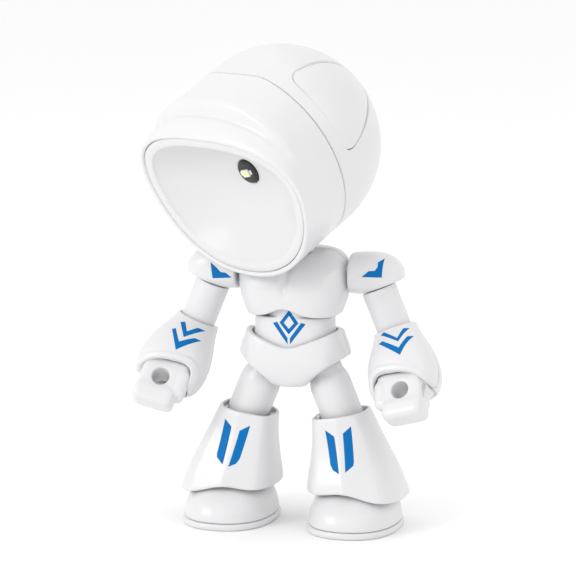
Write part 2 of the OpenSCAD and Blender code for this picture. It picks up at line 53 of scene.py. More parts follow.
# the pose of the photo, in degrees
PAN, TILT, ARM_SPLAY, ELBOW, LEG_SPLAY, BOOT_LEAN = 30, 27, 22.5, 36, 22, 10.5
HEAD_FROM_TILT = (0, 6.5, 27.8)
SHOULDER_X = 14
FOOT_BACK = 2
joints = {j["name"]: j for j in frame["joints"]}


def pivot(name):
    return Matrix.Translation(joints[name]["pos_m"])


def height(name):
    return joints[name]["pos_m"][2] / MM


def turned(axis, degrees):
    return Matrix.Rotation(math.radians(degrees), 4, axis)


def shifted(x, y, z):
    return Matrix.Translation((x * MM, y * MM, z * MM))


middle = joints["waist_turn"]["pos_m"]
body_place = Matrix.Translation((middle[0], middle[1], 0))
neck_place = pivot("head_tilt") @ turned("Z", -PAN)
head_place = neck_place @ turned("X", TILT) @ shifted(*HEAD_FROM_TILT)


def side_places(side):
    """Places of one side's pieces; the right side's are mirrored."""
    mirror = Matrix.Diagonal((1 if side == "left" else -1, 1, 1, 1))

    def at(joint, *moves):
        place = pivot(side + joint) @ mirror
        for move in moves:
            place = place @ move
        return place

    splayed, bent = turned("Y", -ARM_SPLAY), turned("X", -ELBOW)
    return {
        "shoulder": at("_shoulder_turn", shifted(-SHOULDER_X, 0, 0)),
        "upper_arm": at("_arm_twist", splayed),
        "forearm": at("_elbow_bend", splayed, bent),
        "hand": at("_wrist_bend", splayed, bent),
        "thigh": at("_hip_splay", turned("Y", -LEG_SPLAY)),
        "boot": at("_knee_bend", turned("Y", -BOOT_LEAN)),
        "foot": at("_ankle_tilt", shifted(0, -FOOT_BACK, -height(side + "_ankle_tilt"))),
    }


# ---- smooth solids from fields: negative inside, in mm ----

SHARP = 0.01  # radius of an edge that stays sharp


def soft(t):
    t = np.clip(t, 0, 1)
    return t * t * (3 - 2 * t)


def join(a, b, r):
    h = np.maximum(r - np.abs(a - b), 0) / r
    return np.minimum(a, b) - h * h * r / 4


def meet(a, b, r):
    return -join(-a, -b, r)


def cut(a, b, r):
    return meet(a, -b, r)


def curve(t, knots, values):
    """A smooth curve through the values at the knots."""
    knots, values = np.array(knots, float), np.array(values, float)
    slope = np.gradient(values, knots)
    i = np.clip(np.searchsorted(knots, t) - 1, 0, len(knots) - 2)
    h = knots[i + 1] - knots[i]
    s = np.clip((t - knots[i]) / h, 0, 1)
    return (values[i] * (1 + 2 * s) * (1 - s) ** 2 + slope[i] * h * s * (1 - s) ** 2
            + values[i + 1] * s * s * (3 - 2 * s) + slope[i + 1] * h * s * s * (s - 1))


def column(x, y, z, rows):
    """Outlines (z, half width, front, rear, exponent, x, y) joined along Z, without ends.

    The last two are 0 where they are left out.
    """
    rows = [(*row, 0, 0)[:7] for row in rows]
    heights = [row[0] for row in rows]
    half, front, rear, e, at_x, at_y = (curve(z, heights, [row[i] for row in rows]) for i in range(1, 7))
    depth = np.where(y - at_y < 0, front, rear)
    around = (np.abs((x - at_x) / half) ** e + np.abs((y - at_y) / depth) ** e + 1e-9) ** (1 / e)
    return (around - 1) * np.minimum(half, depth)


def grown(rows, by):
    return [(row[0], row[1] + by, row[2] + by, row[3] + by, *row[4:]) for row in rows]


def ends(f, z, low, high, r):
    return meet(meet(f, z - high, r), low - z, r)


def box_field(x, y, z, low, high, r):
    sides = [meet(a - high[i], low[i] - a, SHARP) for i, a in enumerate((x, y, z))]
    return meet(meet(sides[0], sides[1], r), sides[2], r)


def leaning(x, z, degrees):
    """Coordinates turned about Y, along and up a part that leans out by the angle."""
    a = math.radians(degrees)
    return x * math.cos(a) + z * math.sin(a), -x * math.sin(a) + z * math.cos(a)


CORNERS = np.array([[i, j, k] for i in (0, 1) for j in (0, 1) for k in (0, 1)])
EDGES = [(a, b) for a in range(8) for b in range(a + 1, 8)
         if np.abs(CORNERS[a] - CORNERS[b]).sum() == 1]
NEWTON_STEPS = 3
PROBE = 0.02  # distance to each side at which the slope of a field is measured
LONGEST_MOVE = 0.4  # of the grid step


def net(field, low, high, step):
    """Points and quads of the surface where the field is zero."""
    low = np.array(low, float)
    counts = np.ceil((np.array(high) - low) / step).astype(int) + 1
    lines = [low[i] + step * np.arange(counts[i]) for i in range(3)]
    value = np.broadcast_to(field(*np.meshgrid(*lines, indexing="ij", sparse=True)), counts)
    inside = value < 0
    within = np.argwhere(inside)
    if min(within.min(0)) < 1 or (within.max(0) > counts - 2).any():
        raise ValueError("a surface reaches the edge of its grid")
    nx, ny, nz = counts - 1
    filled = sum(inside[i:nx + i, j:ny + j, k:nz + k].astype(np.int8) for i, j, k in CORNERS)
    cells = np.argwhere((filled > 0) & (filled < 8))
    number = np.full(filled.shape, -1)
    number[tuple(cells.T)] = np.arange(len(cells))
    at = np.stack([value[tuple((cells + c).T)] for c in CORNERS], 1)
    total, hits = np.zeros((len(cells), 3)), np.zeros(len(cells))
    for a, b in EDGES:
        cross = (at[:, a] < 0) != (at[:, b] < 0)
        t = np.where(cross, at[:, a] / np.where(cross, at[:, a] - at[:, b], 1), 0)
        total += np.where(cross[:, None], CORNERS[a] + t[:, None] * (CORNERS[b] - CORNERS[a]), 0)
        hits += cross
    points = low + step * (cells + total / hits[:, None])
    quads = []
    for axis in range(3):
        u, v = (axis + 1) % 3, (axis + 2) % 3
        lower = inside.take(range(counts[axis] - 1), axis)
        where = np.argwhere(lower != inside.take(range(1, counts[axis]), axis))
        ring = []
        for du, dv in ((-1, -1), (0, -1), (0, 0), (-1, 0)):
            cell = where.copy()
            cell[:, u] += du
            cell[:, v] += dv
            ring.append(number[tuple(cell.T)])
        ring = np.stack(ring, 1)
        out = lower[tuple(where.T)]
        quads += [ring[out], ring[~out][:, ::-1]]
    for _ in range(NEWTON_STEPS):
        value = field(*points.T)
        slope = np.stack([(field(*(points + d).T) - field(*(points - d).T)) / (2 * PROBE)
                          for d in PROBE * np.eye(3)], 1)
        move = value[:, None] * slope / np.maximum((slope ** 2).sum(1), 0.05)[:, None]
        far = np.linalg.norm(move, axis=1)
        points -= move * np.minimum(1, LONGEST_MOVE * step / np.maximum(far, 1e-9))[:, None]
    return points, np.concatenate(quads)


# ---- objects ----


def mesh_object(name, points, faces, place):
    """An object of equal-sided faces, with its points in mm moved to their place."""
    mesh = bpy.data.meshes.new(name)
    faces = np.asarray(faces, np.int32)
    mesh.vertices.add(len(points))
    mesh.vertices.foreach_set("co", (np.asarray(points, float) * MM).astype(np.float32).ravel())
    mesh.loops.add(faces.size)
    mesh.loops.foreach_set("vertex_index", faces.ravel())
    mesh.polygons.add(len(faces))
    mesh.polygons.foreach_set("loop_start", np.arange(len(faces), dtype=np.int32) * faces.shape[1])
    mesh.update(calc_edges=True)
    mesh.validate()
    mesh.transform(place)
    if place.determinant() < 0:
        mesh.flip_normals()
    mesh.shade_smooth()
    made = bpy.data.objects.new(name, mesh)
    bpy.context.scene.collection.objects.link(made)
    return made


def dressed(made, material, body, nodes=()):
    made.data.materials.clear()
    made.data.materials.append(material)
    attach(made, body)
    if nodes:
        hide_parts(*nodes)
    return made


def skin(name, field, low, high, place, body, nodes):
    """A moulded white piece; low and high are the corners of a box round its field."""
    return dressed(mesh_object(name, *net(field, low, high, STEP), place), white, body, nodes)


def halves(name, field, low, high, overlap, parting, gap, r, place, body, proud=0):
    """Front and rear skins parted across Y; the rear one may stand a little proud."""
    made = []
    for half, sign in (("front", -1), ("rear", 1)):
        def part(x, y, z):
            f = field(x, y, z) - (proud if sign > 0 else 0)
            return meet(f, -sign * (y - parting) + gap, r)

        box = (low, (high[0], overlap[1], high[2])) if sign < 0 else ((low[0], overlap[0], low[2]), high)
        made.append(skin(f"{name}_{half}_skin", part, *box, place, body, [f"{name}_{half}"]))
    return made


def slab(name, low, high, r, place, material, nodes=()):
    """A small box of the LED with rounded edges."""
    points = net(lambda x, y, z: box_field(x, y, z, low, high, r),
                 np.array(low) - 0.3, np.array(high) + 0.3, FINE_STEP)
    return dressed(mesh_object(name, *points, place), material, "head", nodes)


def tube(name, rings, closed, place):
    """Rings of points joined one to the next, and the last to the first if it is closed."""
    n, turns = len(rings), len(rings[0])
    faces = [[j * turns + i, j * turns + k, (j + 1) % n * turns + k, (j + 1) % n * turns + i]
             for j in range(n if closed else n - 1) for i, k in enumerate([*range(1, turns), 0])]
    made = mesh_object(name, np.concatenate(rings), faces, place)
    work = bmesh.new()
    work.from_mesh(made.data)
    bmesh.ops.remove_doubles(work, verts=work.verts, dist=1e-6)
    bmesh.ops.recalc_face_normals(work, faces=work.faces)
    work.to_mesh(made.data)
    work.free()
    made.data.shade_smooth()
    return made


LATHE_TURNS = 96


def lathe(name, profile, place):
    """A profile of (radius, height) from axis to axis, turned about Z."""
    angle = np.arange(LATHE_TURNS) * 2 * math.pi / LATHE_TURNS
    rings = [np.stack([r * np.cos(angle), r * np.sin(angle), h + 0 * angle], 1) for r, h in profile]
    return tube(name, rings, False, place)


def unit(v):
    return v / np.linalg.norm(v)


def rounded(corners, r):
    """A profile with its inner corners rounded; corners are (x, y) or (x, y, own radius)."""
    points = [np.array(c[:2], float) for c in corners]
    out = [points[0]]
    for i in range(1, len(corners) - 1):
        here = points[i]
        own = corners[i][2] if len(corners[i]) > 2 else r
        before, after = points[i - 1] - here, points[i + 1] - here
        reach = min(own, 0.45 * np.linalg.norm(before), 0.45 * np.linalg.norm(after))
        a, b = here + unit(before) * reach, here + unit(after) * reach
        out += [a * (1 - t) ** 2 + 2 * here * t * (1 - t) + b * t * t for t in np.linspace(0, 1, 4)]
    return out + [points[-1]]


def quarter(radius, x=0, y=0, start=0):
    """A quarter circle of points about (x, y) in steps of 6 degrees."""
    angles = [math.radians(start + a) for a in range(0, 91, 6)]
    return [(x + radius * math.cos(a), y + radius * math.sin(a)) for a in angles]


# ---- materials ----

CLOUD_SCALE, CLOUD_DETAIL, GRAIN_DETAIL = 55, 3, 4
RELIEF_DEPTH = 0.0002
COAT_ROUGHNESS = 0.12
BLEED = (0.002, 0.002, 0.002)
# strength of the painted glow, an emission that stands in for light falling on a part
PAINTED_GLOW_STRENGTH = 0.35


def material(name, colour, roughness, metallic=0.0, coat=0.0, grain=420.0, bump=0.02, shade=0.02,
             painted_glow=None, subsurface=0.0, specular=0.5):
    """Plastic or metal with a fine moulded grain, slow changes of tone and of gloss; a glow, if given, is a weak
    painted emission that brightens the part as if more light fell on it.
    """
    made = bpy.data.materials.new(name)
    made.use_nodes = True
    nodes, links = made.node_tree.nodes, made.node_tree.links
    shader = nodes["Principled BSDF"]
    place = nodes.new("ShaderNodeTexCoord")

    def noise(scale, detail):
        node = nodes.new("ShaderNodeTexNoise")
        node.inputs["Scale"].default_value = scale
        node.inputs["Detail"].default_value = detail
        links.new(place.outputs["Object"], node.inputs["Vector"])
        return node.outputs["Fac"]

    cloud, fine = noise(CLOUD_SCALE, CLOUD_DETAIL), noise(grain, GRAIN_DETAIL)
    tone = nodes.new("ShaderNodeMix")
    tone.data_type = "RGBA"
    tone.inputs[6].default_value = (*[c * (1 - shade) for c in colour], 1)
    tone.inputs[7].default_value = (*[min(1, c * (1 + shade)) for c in colour], 1)
    links.new(cloud, tone.inputs[0])
    links.new(tone.outputs[2], shader.inputs["Base Color"])
    gloss = nodes.new("ShaderNodeMapRange")
    gloss.inputs["To Min"].default_value = max(0.02, roughness - 0.05)
    gloss.inputs["To Max"].default_value = min(1, roughness + 0.05)
    links.new(fine, gloss.inputs["Value"])
    links.new(gloss.outputs["Result"], shader.inputs["Roughness"])
    relief = nodes.new("ShaderNodeBump")
    relief.inputs["Strength"].default_value = bump
    relief.inputs["Distance"].default_value = RELIEF_DEPTH
    links.new(fine, relief.inputs["Height"])
    links.new(relief.outputs["Normal"], shader.inputs["Normal"])
    shader.inputs["Metallic"].default_value = metallic
    shader.inputs["Coat Weight"].default_value = coat
    shader.inputs["Coat Roughness"].default_value = COAT_ROUGHNESS
    shader.inputs["Specular IOR Level"].default_value = specular
    shader.inputs["Subsurface Weight"].default_value = subsurface
    shader.inputs["Subsurface Radius"].default_value = BLEED
    # painted light: a weak emission that brightens the part as if more light fell on it
    if painted_glow:
        shader.inputs["Emission Color"].default_value = (*painted_glow, 1)
        shader.inputs["Emission Strength"].default_value = PAINTED_GLOW_STRENGTH
    return made


white = material("moulded_white", (0.71, 0.71, 0.718), 0.34, coat=0.2, subsurface=0.04)
# a little darker than the moulded white: painted shade for the hollow of the bowl, on top of its own rougher,
# less coated finish; the LED package shares it
bowl_white = material("bowl_white", (0.69, 0.69, 0.695), 0.42, coat=0.12, grain=520)
inner_white = material("inner_white", (0.62, 0.62, 0.63), 0.5, grain=300, bump=0.05)
decal_blue = material("decal_blue", (0.0, 0.15, 0.44), 0.5, grain=700, shade=0.12, specular=0.12)
steel = material("pin_steel", (0.6, 0.6, 0.62), 0.3, metallic=1, grain=900, bump=0.04)
tinned = material("tinned_steel", (0.7, 0.7, 0.71), 0.35, metallic=1, grain=700, bump=0.04)
board_black = material("board_black", (0.012, 0.012, 0.013), 0.32, grain=800, bump=0.05, shade=0.2)
board_green = material("board_green", (0.02, 0.16, 0.07), 0.4, grain=600, bump=0.05, shade=0.12)
foil = material("cell_foil", (0.7, 0.72, 0.76), 0.3, metallic=1, grain=200, bump=0.1)
# the phosphor's yellow is its own colour; its glow is painted light that brightens it, not the LED switched on
phosphor = material("phosphor_yellow", (0.86, 0.82, 0.22), 0.55, grain=1500, bump=0.2, shade=0.06,
                    painted_glow=(0.95, 0.95, 0.45))
solder = material("solder", (0.75, 0.75, 0.77), 0.22, metallic=1, grain=1200, bump=0.1)
floor_white = material("floor_white", (0.97, 0.97, 0.97), 0.6, grain=30, bump=0.0, shade=0.003)

# what the CAD nodes that are carried over are made of; every other one is white
NODE_ENDS = {"screws": steel, "_pin": steel, "_axle": steel, "waist_retainer": steel, "_link": inner_white,
             "neck_yoke": inner_white, "usb_socket": tinned, "driver_board": board_green,
             "battery_cell": foil, "led_board": board_black, "led_chip": phosphor, "reflector": bowl_white}
for node, made in frame["nodes"].items():
    kept = next((look for end, look in NODE_ENDS.items() if node.endswith(end)), white)
    for place in made.material_slots:
        place.material = kept

# ---- head: a dome at the back, flared to the lamp opening at the front ----

DOME = 33.6  # radius
SEAM = -7.0  # Y of the joint between the face and the dome
SEAM_GAP = 0.14  # on each side of the joint
FLARE = 26  # length over which the face widens
RIM_Y, RIM_SWEEP = -33, 2.8
RIM_HALF, RIM_TOP, RIM_LOW = 39.2, 22.4, 32.0
FACE_WALL, DOME_WALL, PANEL_SEAT = 1.5, 2.9, 1.6
# heights of the top along Y: beside the brim, over the brim with its crease and step, and over a plain brim
BESIDE = ([-33, -29, -25, -20, -15, SEAM, 0], [RIM_TOP, 25.6, 28.3, 30.7, 32.1, 33.4, DOME])
STEPPED_BRIM = ([-33, -31, -29, -27, -25.4, -24.6, -23.6, -22.6, -20, -15, SEAM, 0],
                [RIM_TOP, 24, 25.2, 26.1, 26.7, 28.3, 30.4, 31.2, 31.7, 32.3, 33.4, DOME])
PLAIN_BRIM = ([-33, -27, -24, -20, -15, SEAM, 0], [RIM_TOP, 25.5, 27.5, 30.3, 31.8, 33.4, DOME])
BUTTON_LEAN = 75


def rim_y(x):
    """The rim of the lamp opening is swept back at its sides."""
    return RIM_Y + RIM_SWEEP * (x / RIM_HALF) ** 2


def helmet(x, y, z, stepped=True):
    s = np.clip((SEAM - y) / FLARE, 0, 1)
    k = soft(s)
    half = DOME + (RIM_HALF - DOME) * s ** 1.2
    low = DOME - (DOME - RIM_LOW) * k
    aside = curve(y, *BESIDE)
    brim = curve(y, *(STEPPED_BRIM if stepped else PLAIN_BRIM))
    high = aside + (brim - aside) * (1 - soft((np.arctan2(np.abs(x) / 38, z / 27) - 0.86) / 0.35))
    e = 2 + 0.25 * k
    tall = np.where(z < 0, low, high)
    narrow = x / (1 + 0.1 * k * np.minimum(z, 0) / low)
    around = (np.abs(narrow / half) ** e + np.abs(z / tall) ** e + 1e-9) ** (1 / e)
    outer = np.where(y > 0, np.sqrt(x * x + y * y + z * z) - DOME, (around - 1) * 29)
    facet = z - 31.5 - 0.045 * (y - SEAM) + 0.0012 * x * x
    return meet(outer, facet, 0.8)


def neck_slot(x, y, z):
    return meet(np.hypot(x, y - np.clip(y, -9.9, -5.2)) - 7.7, z + 20, 0.1)


def face_shell(x, y, z):
    wall = cut(helmet(x, y, z), helmet(x, y, z, False) + FACE_WALL, 0.4)
    wall = meet(meet(wall, rim_y(x) - y, 0.9), y - SEAM + SEAM_GAP, 0.35)
    return cut(wall, neck_slot(x, y, z), 0.4)


def leaf(x, y, z):
    """The outline of the panel let into each side of the dome."""
    crown = 17.9 - 0.012 * np.maximum(y - 2, 0) ** 1.7 - np.abs(x)
    return meet(meet(crown, 0.27 * y + 0.2 - z, 9), -2 - y, 5)


def panel(x, y, z):
    """The joint round the panel closes up along the front, below its top corner."""
    outer = helmet(x, y, z)
    below_crown, above_foot = 0.75 * soft((z - 19) / 6), soft((0.27 * y + 3.4 - z) / 2)
    shown = np.maximum(np.maximum(soft((y + 1) / 5), below_crown), above_foot)
    sheet = meet(outer + 0.1 * shown, -outer - 1.5, 0.3)
    gap = (0.72 + 0.5 * soft((y - 6) / 10)) * shown
    return meet(sheet, leaf(x, y, z) + gap - 0.5, 0.3)


def button_bore(x, y, z):
    a = math.radians(BUTTON_LEAN)
    across = np.sqrt(x * x + (math.cos(a) * y - math.sin(a) * z) ** 2)
    along = math.sin(a) * y + math.cos(a) * z
    return meet(across - 5.15, 20 - along, 0.1)


def cranium(x, y, z):
    outer = helmet(x, y, z)
    wall = cut(outer, outer + DOME_WALL, 0.4)
    wall = meet(wall, SEAM + SEAM_GAP - y, 0.35)
    wall = cut(wall, meet(leaf(x, y, z), -PANEL_SEAT - outer, 0.1), 0.3)
    wall = cut(wall, button_bore(x, y, z), 0.5)
    wall = cut(wall, box_field(x, y, z, (-4.9, 20, -16), (4.9, 40, -12), 0.8), 0.4)  # charging socket
    return cut(wall, neck_slot(x, y, z), 0.4)


for name, field, low, high, node in (
    ("face_shell_skin", face_shell, (-42, -35, -36), (42, SEAM + 0.8, 36), "face_shell"),
    ("cranium_skin", cranium, (-36, SEAM - 0.8, -36), (36, 36, 36), "cranium_shell"),
    ("panel_left_skin", panel, (12, -5, -5), (36, 36, 36), "side_panels"),
    ("panel_right_skin", panel, (-36, -5, -5), (-12, 36, 36), "side_panels"),
):
    skin(name, field, low, high, head_place, "head", [node])

# ---- lamp: a frame round the opening, then the bowl down to the LED ----

LAMP = np.array([0.9, -17.8, 0.2])
HOLE = 4.7  # radius
BOWL_TURNS = 160
MOUTH_DEPTH = 0.9  # where the mouth is measured, behind the rim
FRAME_WIDTH = 3.6
BOWL_SINK = 2.1  # exponent of its depth
# the frame's section: distance in from the mouth, and back from the rim
FRAME = ((0.15, 4.0), (0.15, 1.0), (0.25, 0.7), (0.5, 0.55), (1.8, 0.6), (3.2, 0.75), (3.45, 0.85),
         (FRAME_WIDTH, 1.15))
LED_TURN = 12
LED_HEIGHT = 1.35


def opening(angle):
    """The inner edge of the shell's mouth and its inward normal, at angles about the middle of the head."""
    near, far = np.full(len(angle), 10.0), np.full(len(angle), 50.0)
    for _ in range(30):
        r = (near + far) / 2
        x, z = r * np.cos(angle), r * np.sin(angle)
        inside = helmet(x, rim_y(x) + MOUTH_DEPTH, z, False) < -FACE_WALL
        near, far = np.where(inside, r, near), np.where(inside, far, r)
    edge = np.stack([x, z], 1)
    along = np.roll(edge, -1, 0) - np.roll(edge, 1, 0)
    along /= np.linalg.norm(along, axis=1)[:, None]
    return edge, np.stack([-along[:, 1], along[:, 0]], 1)


def bowl():
    angle = (np.arange(BOWL_TURNS) + 0.5) * 2 * math.pi / BOWL_TURNS
    mouth, inward = opening(angle)
    edge = rim_y(mouth[:, 0])
    rings = []

    def ring(t, inset, y, r=HOLE):
        """t is 1 at the outline and 0 at the lamp hole."""
        x, z = (mouth + inset * inward).T
        rings.append(np.stack([x * t + (LAMP[0] + r * np.cos(angle)) * (1 - t), y + 0 * x,
                               z * t + (LAMP[2] + r * np.sin(angle)) * (1 - t)], 1))

    for inset, back in FRAME:
        ring(1, inset, edge + back)
    for s in [*np.linspace(0.03, 0.97, 26), 1]:
        t = 1 - s
        ring(t, FRAME_WIDTH, (edge + FRAME[-1][1]) * t ** BOWL_SINK + LAMP[1] * (1 - t ** BOWL_SINK))
    for back in (0.3, 1.3):
        ring(0, FRAME_WIDTH, LAMP[1] + back, HOLE - 0.15)
    for s in (1, 0.8, 0.6, 0.4, 0.2, 0):
        t = 1 - s
        ring(t, 1.2, (edge + 4) * t ** 2 + (LAMP[1] + 1.3) * (1 - t ** 2), HOLE + 3)
    return tube("lamp_bowl", rings, True, head_place)


dressed(bowl(), bowl_white, "head", ["reflector"])
lamp_place = head_place @ shifted(*LAMP) @ turned("X", 90)
led_place = lamp_place @ shifted(0, 0, LED_HEIGHT) @ turned("Z", LED_TURN)
disc = rounded([(0, -1.3), (4.45, -1.3), (4.45, 0.3, 0.5), (3.7, 1.0, 0.5), (0, 1.15)], 0.1)
dressed(lathe("led_board_disc", disc, lamp_place), board_black, "head", ["led_board"])
slab("led_package", (-1.75, -1.4, -0.5), (1.75, 1.4, 0.25), 0.25, led_place, bowl_white)
slab("led_phosphor", (-1.45, -1.15, 0.0), (1.45, 1.15, 0.36), 0.5, led_place, phosphor,
     ["led_chip"])
slab("led_pad_a", (-2.9, -0.9, -0.45), (-1.8, 0.9, -0.1), 0.3, led_place, solder)
slab("led_pad_b", (1.8, -0.9, -0.45), (2.9, 0.9, -0.1), 0.3, led_place, solder)

cap = rounded([(0, 29.4), (4.2, 29.4), (4.2, 29.9), (6, 29.9), (6, 31.2), (4.85, 31.2), (4.85, 34.7, 0.8),
               (4.0, 34.9), (2.4, 34.3), (0, 34.1)], 0.3)
dressed(lathe("button_cap", cap, head_place @ turned("X", -BUTTON_LEAN)), inner_white,
        "button", ["power_button"])
NECK_R = 6.95
post = rounded([(0, -13.9), (6.7, -13.9), (6.7, -12.5), (5.35, -12.5), (5.35, -9.2), (NECK_R, -9.2, 0.5),
                (NECK_R, -3)], 0.3)
dressed(lathe("neck_skin", post + quarter(NECK_R), neck_place), white, "neck", ["neck_post"])

# ---- torso ----

SHOULDER_Z = height("left_shoulder_turn")
CHEST = [(73, 15.8, 11.9, 11.3, 3), (76, 17, 12.9, 11.9, 3), (80, 18.3, 13.6, 12.3, 3.1),
         (82.5, 18.9, 13.7, 12.6, 3.2), (86, 19.1, 12.8, 12.6, 3.2), (89, 18.6, 11.1, 12, 2.8),
         (91.5, 16.6, 8.5, 10.6, 2.3), (94, 10.8, 5.8, 8, 2)]
CHEST_REAR = CHEST[:5] + [(89, 18.8, 12, 12.4, 3), (92, 17.9, 11, 11.4, 2.7), (94.5, 15.8, 9.5, 9.8, 2.4),
                          (96, 13, 8, 8.2, 2.2)]
CHEST_LOW = 72.9  # height of its lower edge
ABDOMEN_LOW = 58.2
ABDOMEN = [(ABDOMEN_LOW, 14.2, 9.4, 9, 2.6), (62, 14.2, 10.2, 9.6, 2.6), (68, 13.8, 10.4, 9.8, 2.6),
           (72.4, 13.6, 10.1, 9.6, 2.6)]
PELVIS = [(47.4, 5, 9, 8, 2.2), (50, 11, 10.6, 9.6, 2.4), (54, 17.8, 12, 11.2, 2.8), (58, 19.3, 12.6, 12, 3),
          (62, 18.4, 12.4, 11.8, 3), (65, 17.2, 12, 11.2, 3), (68.5, 16.2, 11.6, 10.9, 3)]
HIP_X, HIP_Z = 9.9, 55
SCREW_R = 1.9  # of the counterbores at the back


def chest(x, y, z):
    ax = np.abs(x)
    front = y < 0
    back = soft((y + 4) / 6)
    f = column(x, y, z, CHEST) * (1 - back) + column(x, y, z, CHEST_REAR) * back
    crease = 1.15 * np.exp(-((x + 1.5 - 0.14 * (z - 76)) / 1.3) ** 2) * soft((z - 77.5) / 8)
    f = f + np.where(front, crease, 0)
    f = meet(f, 0.81 * ax - 0.586 * y - 18.3, 1.2)
    f = meet(f, 0.81 * ax + 0.586 * y - 17.8, 1.5)
    arch = np.where(front, CHEST_LOW + 2.9 * np.exp(-((x + 0.8) / 5.6) ** 2), CHEST_LOW)
    hollow = meet(f + 1.3 + 0.4 * soft((z - 75) / 4), z - 80.6, 0.5)
    f = meet(meet(f, z - 93.8 - 1.8 * back, 1.2), (arch - z) * 0.9, 0.5)
    f = cut(f, hollow, 0.4)
    neck_hole = meet(np.hypot(x, y) - 5.6, 84 - z, 0.1)
    screws = meet(np.hypot(ax - 9, z - SHOULDER_Z - 0.4) - SCREW_R, 10.4 - y, 0.1)
    return cut(cut(f, neck_hole, 0.3), screws, 0.25)


def abdomen(x, y, z):
    """The round boss the chest turns on is fuller at the front, under the emblem."""
    outline = column(x, y, z, ABDOMEN)
    f = ends(outline, z, ABDOMEN_LOW, 72.6, 0.3)
    boss = np.hypot(x, y) - 9.9 - 0.5 * soft((-y - 6.5) / 2)
    return join(f, ends(meet(boss, outline + 0.04, 0.1), z, 60, 80.2, 0.4), 0.5)


def pelvis(x, y, z):
    f = column(x, y, z, PELVIS)
    ax = np.abs(x)
    f = meet(f, 0.8 * ax - 0.6 * y - 17.9, 1.2)
    f = meet(f, 0.8 * ax + 0.6 * y - 17.9, 1.2)
    top = np.where(y < 0, np.minimum(62.5 + 0.42 * (np.sqrt(x * x + 12) - 3.46), 68), 67.2)
    inner = f + 1.5
    f = meet(meet(f, (z - top) * 0.92, 0.9), 48.4 - z, 1.2)
    f = cut(f, meet(inner, 2.6 - ax, 0.3), 0.4)
    f = cut(f, meet(np.hypot(x, z - 62) - SCREW_R, 10.5 - y, 0.1), 0.25)
    f = cut(f, ends(column(x, y, z, grown(ABDOMEN, 0.25)), z, 58, 90, 0.1), 0.3)
    u, w = leaning(ax - HIP_X, z - HIP_Z, LEG_SPLAY)  # leg openings, square to the thighs
    f = cut(f, meet(meet(w + 2.3, -12.5 - u, 1.5), np.abs(y) - 7.6, 0.5), 0.4)
    arch = curve(ax, [4, 6, 8, 10, 12, 14, 16, 18.6, 22], [44, 48.6, 51.2, 53.1, 54.7, 56.1, 57.3, 58.6, 60])
    return cut(f, (z - arch) * 0.75, 0.8)


TORSO_JOINT = {"parting": 0.3, "gap": 0.05, "r": 0.25}
halves("chest", chest, (-20, -15, 71.5), (20, 14, 97), (-1, 1), place=body_place, body="chest", **TORSO_JOINT)
abdomen_skin = skin("abdomen_skin", abdomen, (-16, -12, 57.5), (16, 11, 81), body_place, "pelvis",
                    ["abdomen"])
halves("pelvis", pelvis, (-21, -14, 46.5), (21, 13.5, 69.5), (-1, 1), place=body_place, body="pelvis",
       **TORSO_JOINT)

# ---- arms ----

CAP_LOW, CAP_HIGH = 19.8, 37.9  # its ends along X
CAP = [(CAP_LOW, 6.7, 6.4, 7, 2.1), (20.4, 6.9, 6.5, 7.3, 2.1), (23, 7.2, 6.6, 7.7, 2.2),
       (28, 7.4, 6.2, 7.9, 2.4), (32, 7.1, 5.6, 7.3, 2.3), (35.5, 5.7, 4.4, 5.6, 2.1), (CAP_HIGH, 3, 2.4, 2.9, 2)]
ARM_X = 27.4
UPPER_ARM = quarter(6, 0, -21.6, -90) + rounded(
    [(6, -20), (6, -5, 0.3), (2.5, -5), (2.5, 0.7), (3.2, 0.7), (3.2, 2.2), (0, 2.2)], 0.15)
FOREARM_LOW, FOREARM_HIGH = -24.4, 2.6
FOREARM = [(FOREARM_LOW, 10.2, 8.2, 8.2, 2.5), (-22, 11.4, 9.5, 9.5, 2.5), (-18.5, 12.1, 10.6, 10.5, 2.4),
           (-15, 12.1, 11, 10.7, 2.3), (-11, 11.4, 10.7, 10.3, 2.2), (-7, 10.2, 9.7, 9.4, 2.1),
           (-3, 8.7, 8.5, 8.3, 2), (0, 7.8, 7.9, 7.6, 2), (FOREARM_HIGH, 7.2, 7.4, 7.1, 2)]
FOREARM_WALL = 1.6
WRIST_Z = -20.5
ARCH_POWER = 3.2
ELBOW_BALL = 6.3  # radius of its socket
PALM_TURN = 9  # towards the body


def shoulder(x, y, z):
    f = meet(meet(column(y, z, x, CAP), x - CAP_HIGH, 0.6), CAP_LOW - x, 0.25)
    u, w = leaning(x - ARM_X, z, ARM_SPLAY)
    axle = np.hypot(u, y)
    f = meet(f, -4.7 - w, 0.5)
    f = cut(f, meet(axle - 2.6, w - 2.7, 0.1), 0.1)
    return cut(f, meet(axle - 3.5, np.maximum(w - 2.7, 0.4 - w), 0.1), 0.1)


